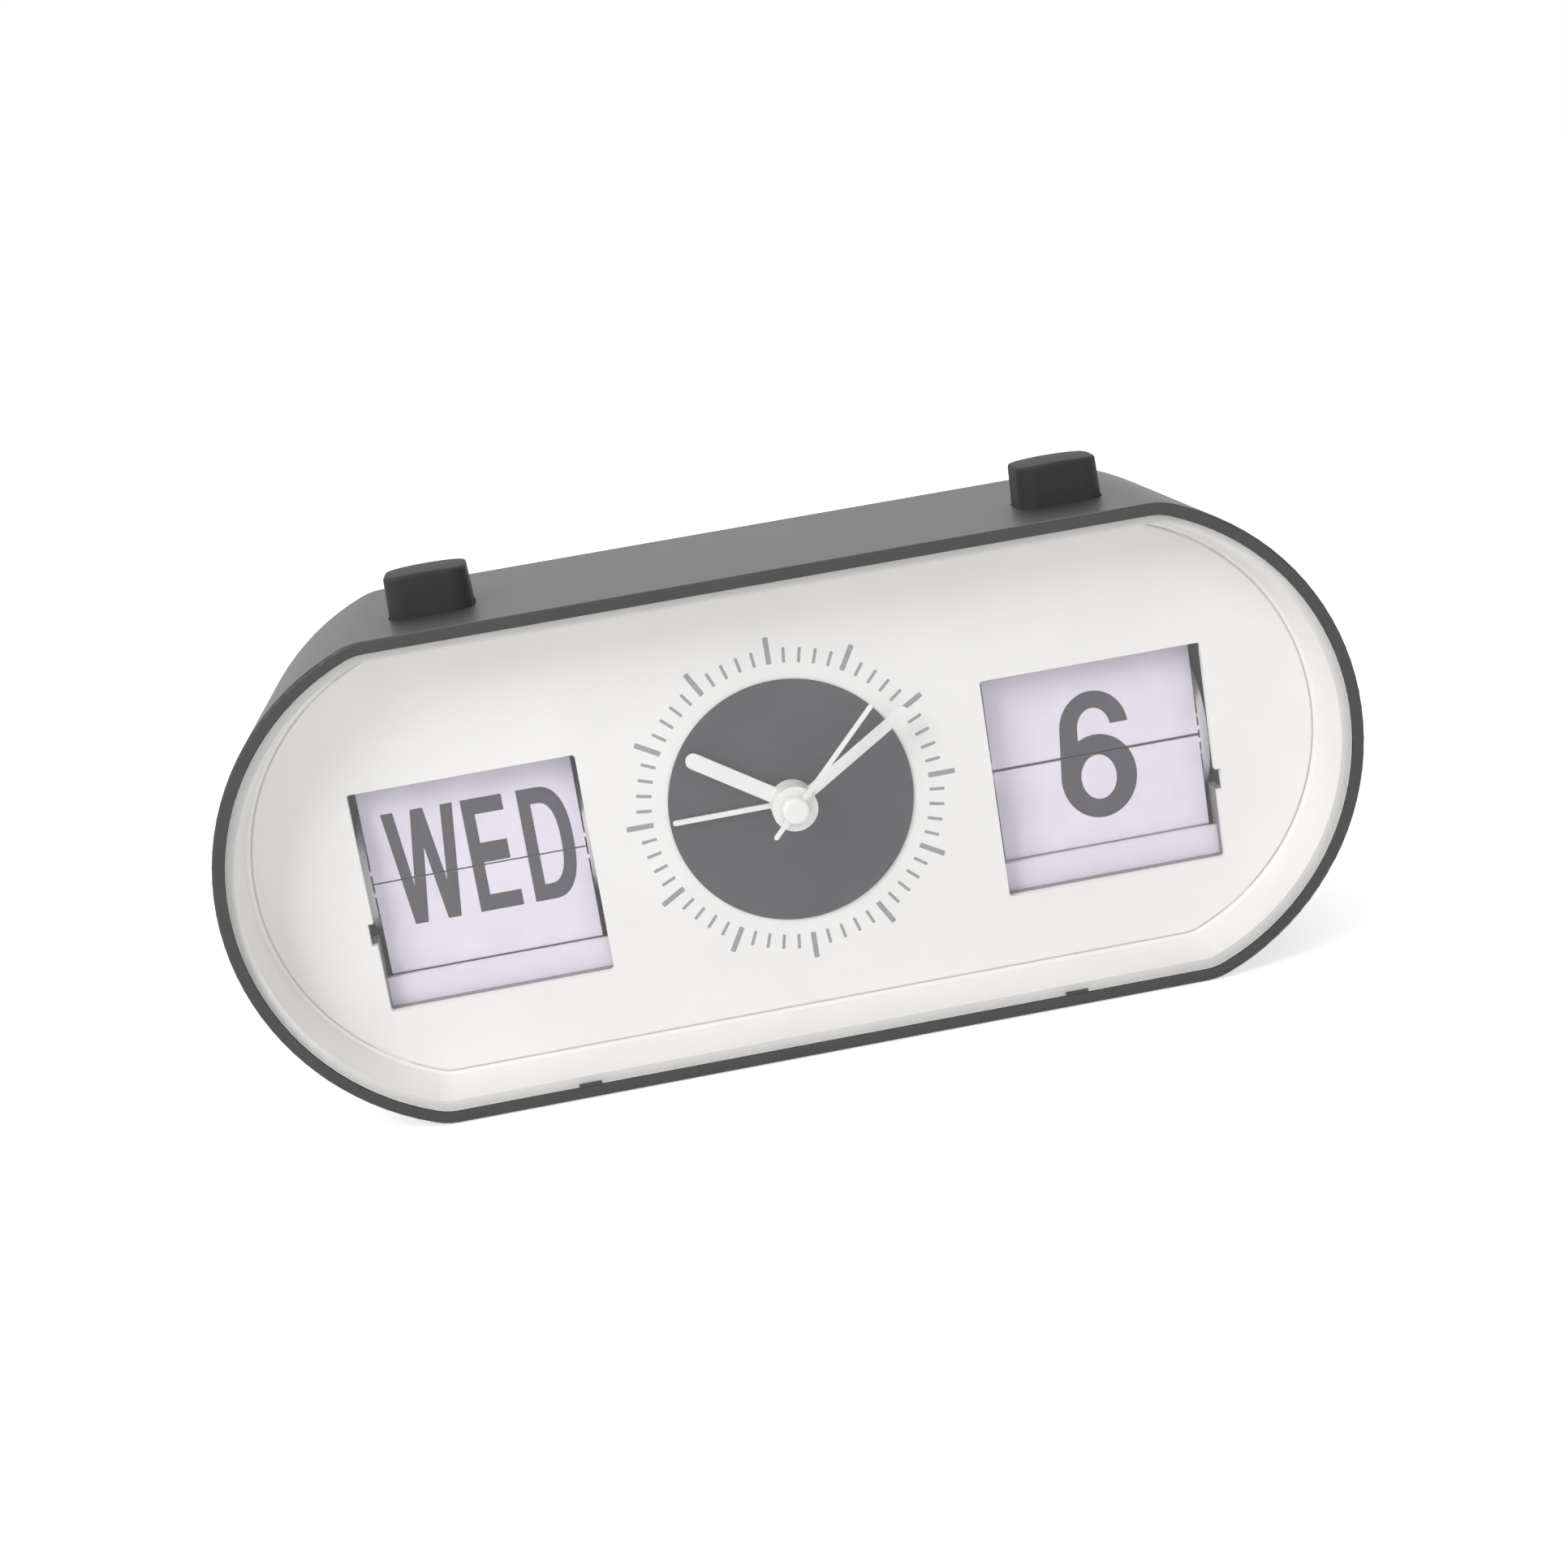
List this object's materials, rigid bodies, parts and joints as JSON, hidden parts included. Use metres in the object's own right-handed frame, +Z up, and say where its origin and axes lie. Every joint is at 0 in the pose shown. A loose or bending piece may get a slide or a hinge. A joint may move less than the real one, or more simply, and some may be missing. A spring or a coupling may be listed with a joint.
{
  "type": "desk alarm clock with flip calendar",
  "caption": "Pill-shaped desk alarm clock: analogue dial with alarm hand between a flip weekday window and a flip date window, set by push keys on top and knobs behind.",
  "frame": {"origin": "middle of the flat base of the case", "axes": "+X along the length, to the right seen from the front; -Y out of the front; +Z up"},
  "size_m": [0.2, 0.06, 0.0937],
  "materials": {
    "case_plastic": "satin charcoal grey, fine moulded texture",
    "lens_clear": "clear polished acrylic",
    "face_white": "matt white",
    "dial_grey": "matt dark grey paint",
    "hand_white": "matt white paint",
    "leaf_white": "thin printed sheet, lavender white",
    "key_black": "matt black",
    "gear_plastic": "natural white acetal",
    "movement_black": "black moulded",
    "bright_steel": "bright",
    "winding_copper": "enamelled copper wire",
    "board_green": "green laminate",
    "cell_jacket": "plain grey jacket"
  },
  "bodies": {
    "case": {"case_band": "case_plastic", "front_lens": "lens_clear", "face_tray": "face_white", "dial_disc": "dial_grey", "rear_cover": "case_plastic", "rear_cover_screws": "bright_steel", "face_screws": "bright_steel", "battery_cell": "cell_jacket", "battery_spring": "bright_steel", "battery_contact_positive": "bright_steel", "buzzer": "movement_black", "movement_case_front": "movement_black", "movement_case_rear": "movement_black", "circuit_board": "board_green", "quartz_crystal": "bright_steel", "coil_bobbin": "gear_plastic", "coil_winding": "winding_copper", "stator": "bright_steel", "day_frame": "gear_plastic", "day_axle": "bright_steel", "day_click_spring": "bright_steel", "day_button_spring": "bright_steel", "date_frame": "gear_plastic", "date_axle": "bright_steel", "date_click_spring": "bright_steel", "date_button_spring": "bright_steel"},
    "second_arbor": {"second_wheel": "gear_plastic", "second_hand": "hand_white"},
    "minute_arbor": {"minute_wheel": "gear_plastic", "minute_hand": "hand_white"},
    "hour_tube": {"hour_wheel": "gear_plastic", "hour_hand": "hand_white"},
    "alarm_tube": {"alarm_wheel": "gear_plastic", "alarm_hand": "hand_white"},
    "third_arbor": {"third_wheel": "gear_plastic"},
    "intermediate": {"intermediate_wheel": "gear_plastic"},
    "rotor_arbor": {"rotor": "gear_plastic"},
    "motion": {"motion_wheel": "gear_plastic"},
    "time_setter": {"time_setting_wheel": "gear_plastic", "time_set_knob": "key_black"},
    "alarm_setter": {"alarm_setting_wheel": "gear_plastic", "alarm_set_knob": "key_black"},
    "alarm_slider": {"alarm_switch": "key_black"},
    "door": {"battery_door": "case_plastic"},
    "day_drum": {"day_spool": "gear_plastic", "day_ratchet": "gear_plastic", "day_leaf_stack": "leaf_white"},
    "day_key": {"day_button": "key_black", "day_pusher": "gear_plastic"},
    "day_upper_leaf": {"day_leaf_upper": "leaf_white"},
    "day_next_leaf": {"day_leaf_next": "leaf_white"},
    "day_lower_leaf": {"day_leaf_lower": "leaf_white"},
    "date_drum": {"date_spool": "gear_plastic", "date_ratchet": "gear_plastic", "date_leaf_stack": "leaf_white"},
    "date_key": {"date_button": "key_black", "date_pusher": "gear_plastic"},
    "date_upper_leaf": {"date_leaf_upper": "leaf_white"},
    "date_next_leaf": {"date_leaf_next": "leaf_white"},
    "date_lower_leaf": {"date_leaf_lower": "leaf_white"}
  },
  "joints": [
    {"name": "second_turn", "type": "hinge", "parent": "case", "child": "second_arbor", "pos_m": [0, 0, 0.043], "axis": [0, 1, 0], "continuous": true},
    {"name": "minute_turn", "type": "hinge", "parent": "case", "child": "minute_arbor", "pos_m": [0, 0, 0.043], "axis": [0, 1, 0], "continuous": true},
    {"name": "hour_turn", "type": "hinge", "parent": "case", "child": "hour_tube", "pos_m": [0, 0, 0.043], "axis": [0, 1, 0], "continuous": true},
    {"name": "third_turn", "type": "hinge", "parent": "case", "child": "third_arbor", "pos_m": [0.0135, 0, 0.043], "axis": [0, 1, 0], "continuous": true},
    {"name": "intermediate_turn", "type": "hinge", "parent": "case", "child": "intermediate", "pos_m": [0, 0, 0.0535], "axis": [0, 1, 0], "continuous": true},
    {"name": "rotor_turn", "type": "hinge", "parent": "case", "child": "rotor_arbor", "pos_m": [0.00552, 0, 0.05813], "axis": [0, 1, 0], "continuous": true},
    {"name": "motion_turn", "type": "hinge", "parent": "case", "child": "motion", "pos_m": [0, 0, 0.0334], "axis": [0, 1, 0], "continuous": true},
    {"name": "time_knob_turn", "type": "hinge", "parent": "case", "child": "time_setter", "pos_m": [-0.01171, 0, 0.0348], "axis": [0, 1, 0], "continuous": true},
    {"name": "alarm_knob_turn", "type": "hinge", "parent": "case", "child": "alarm_setter", "pos_m": [-0.01114, 0, 0.0508], "axis": [0, 1, 0], "continuous": true},
    {"name": "alarm_hand_turn", "type": "hinge", "parent": "case", "child": "alarm_tube", "pos_m": [0, 0, 0.043], "axis": [0, 1, 0], "continuous": true},
    {"name": "alarm_switch_slide", "type": "slide", "parent": "case", "child": "alarm_slider", "axis": [0, 0, 1], "range_m": [0, 0.003]},
    {"name": "battery_door_open", "type": "hinge", "parent": "case", "child": "door", "pos_m": [0, 0.03, 0.0093], "axis": [-1, 0, 0], "range_deg": [0, 75]},
    {"name": "day_key_press", "type": "slide", "parent": "case", "child": "day_key", "axis": [0, 0, -1], "range_m": [0, 0.0017], "stiffness_N_per_m": 300, "springref_m": -0.003, "deforming": ["day_button_spring"]},
    {"name": "day_drum_turn", "type": "hinge", "parent": "case", "child": "day_drum", "pos_m": [-0.0561, -0.00253, 0.0402], "axis": [1, 0, 0], "range_deg": [0, 25.71]},
    {"name": "day_upper_leaf_turn", "type": "hinge", "parent": "day_drum", "child": "day_upper_leaf", "pos_m": [-0.0561, -0.0113, 0.0422], "axis": [1, 0, 0], "range_deg": [0, 154.29]},
    {"name": "day_next_leaf_turn", "type": "hinge", "parent": "day_drum", "child": "day_next_leaf", "pos_m": [-0.0561, -0.00956, 0.04581], "axis": [1, 0, 0], "range_deg": [-25.71, 0]},
    {"name": "day_lower_leaf_turn", "type": "hinge", "parent": "day_drum", "child": "day_lower_leaf", "pos_m": [-0.0561, -0.0113, 0.0382], "axis": [1, 0, 0], "range_deg": [-25.71, 0]},
    {"name": "date_key_press", "type": "slide", "parent": "case", "child": "date_key", "axis": [0, 0, -1], "range_m": [0, 0.0017], "stiffness_N_per_m": 300, "springref_m": -0.003, "deforming": ["date_button_spring"]},
    {"name": "date_drum_turn", "type": "hinge", "parent": "case", "child": "date_drum", "pos_m": [0.0561, 0.00004, 0.0402], "axis": [1, 0, 0], "range_deg": [0, 11.61]},
    {"name": "date_upper_leaf_turn", "type": "hinge", "parent": "date_drum", "child": "date_upper_leaf", "pos_m": [0.0561, -0.0113, 0.04135], "axis": [1, 0, 0], "range_deg": [0, 168.39]},
    {"name": "date_next_leaf_turn", "type": "hinge", "parent": "date_drum", "child": "date_next_leaf", "pos_m": [0.0561, -0.01084, 0.04361], "axis": [1, 0, 0], "range_deg": [-11.61, 0]},
    {"name": "date_lower_leaf_turn", "type": "hinge", "parent": "date_drum", "child": "date_lower_leaf", "pos_m": [0.0561, -0.0113, 0.03905], "axis": [1, 0, 0], "range_deg": [-11.61, 0]}
  ],
  "couplings": [
    {"joint": "minute_turn", "follows": "second_turn", "ratio": 0.016667},
    {"joint": "hour_turn", "follows": "second_turn", "ratio": 0.0013889},
    {"joint": "third_turn", "follows": "second_turn", "ratio": -0.125},
    {"joint": "intermediate_turn", "follows": "second_turn", "ratio": -6},
    {"joint": "rotor_turn", "follows": "second_turn", "ratio": 30},
    {"joint": "motion_turn", "follows": "second_turn", "ratio": -0.0055556},
    {"joint": "time_knob_turn", "follows": "second_turn", "ratio": -0.083333},
    {"joint": "alarm_hand_turn", "follows": "alarm_knob_turn", "ratio": -0.7},
    {"joint": "day_drum_turn", "follows": "day_key_press", "rad_per_m": 264},
    {"joint": "day_upper_leaf_turn", "follows": "day_key_press", "rad_per_m": 1584},
    {"joint": "day_next_leaf_turn", "follows": "day_key_press", "rad_per_m": -264},
    {"joint": "day_lower_leaf_turn", "follows": "day_key_press", "rad_per_m": -264},
    {"joint": "date_drum_turn", "follows": "date_key_press", "rad_per_m": 119.23},
    {"joint": "date_upper_leaf_turn", "follows": "date_key_press", "rad_per_m": 1728.8},
    {"joint": "date_next_leaf_turn", "follows": "date_key_press", "rad_per_m": -119.23},
    {"joint": "date_lower_leaf_turn", "follows": "date_key_press", "rad_per_m": -119.23}
  ]
}
